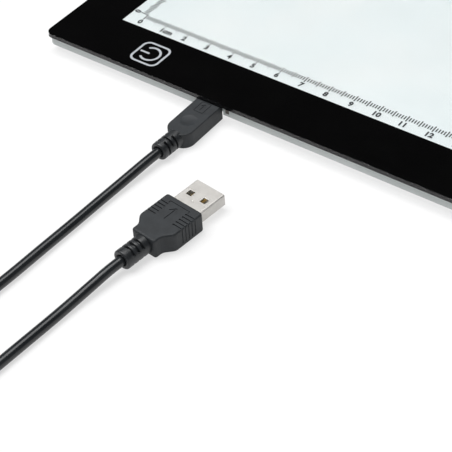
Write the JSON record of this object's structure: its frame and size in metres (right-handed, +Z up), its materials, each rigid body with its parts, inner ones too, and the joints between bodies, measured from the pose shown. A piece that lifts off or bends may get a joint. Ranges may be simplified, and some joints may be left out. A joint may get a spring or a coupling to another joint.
{
  "type": "light box",
  "caption": "Thin A4 tracing light box: clear sheet with black border, lit window, touch key, and a detachable USB lead with its cable coiled.",
  "frame": {"origin": "middle of the pad's footprint, on the surface its feet stand on", "axes": "+X right along the near edge, +Y away from the user, +Z up out of the drawing surface"},
  "size_m": [0.35, 0.4505, 0.0076],
  "materials": {
    "clear_sheet": "clear polished acrylic",
    "black_print": "gloss",
    "black_tape": "matte",
    "diffuser": "milky satin",
    "light_guide": "clear",
    "reflector": "satin",
    "foam": "matte",
    "frame_grey": "satin",
    "back_cover": "fine texture",
    "foot_rubber": "matte",
    "thermal_tape": "matte",
    "led_board": "white solder mask",
    "led": "satin",
    "chip_black": "matte",
    "board_green": "satin",
    "copper": "bare copper",
    "capacitor": "ceramic",
    "solder": "bright",
    "wire_red": "satin",
    "wire_black": "satin",
    "lens": "smoky satin",
    "socket_steel": "bright",
    "plug_steel": "satin nickel",
    "insulator_black": "matte",
    "insulator_white": "satin",
    "gold": "gold flash",
    "grip_black": "satin moulded",
    "boot_black": "satin",
    "cable_black": "semi-gloss",
    "tie_black": "matte"
  },
  "bodies": {
    "pad": {"top_sheet": "clear_sheet", "border_film": "black_print", "frame_tape": "black_tape", "diffuser": "diffuser", "light_guide": "light_guide", "reflector": "reflector", "spacer_blocks": "foam", "side_frame": "frame_grey", "cover_tape": "black_tape", "back_cover": "back_cover", "rubber_feet": "foot_rubber", "led_tape": "thermal_tape", "led_board": "led_board", "leds": "led", "led_resistors": "chip_black", "board_tape": "foam", "control_board": "board_green", "touch_pad": "copper", "touch_foam": "foam", "touch_chip": "chip_black", "dimmer_transistor": "chip_black", "board_capacitors": "capacitor", "board_resistors": "chip_black", "solder_pads": "solder", "led_wire_plus": "wire_red", "led_wire_minus": "wire_black", "indicator_led": "led", "indicator_lens": "lens", "port_shell": "socket_steel", "port_tongue": "insulator_black", "port_contacts": "gold"},
    "lead": {"plug_shell": "plug_steel", "plug_insulator": "insulator_black", "plug_contacts": "gold", "plug_latches": "plug_steel", "plug_grip": "grip_black", "plug_relief": "boot_black", "cable_device_end": "cable_black", "cable_coil": "cable_black", "coil_tie": "tie_black", "cable_host_end": "cable_black", "host_relief": "boot_black", "host_grip": "grip_black", "host_shell": "plug_steel", "host_tongue": "insulator_white", "host_contacts": "gold"}
  },
  "joints": [
    {"name": "plug_out", "type": "slide", "parent": "pad", "child": "lead", "axis": [0, -1, 0], "range_m": [0, 0.012]}
  ]
}
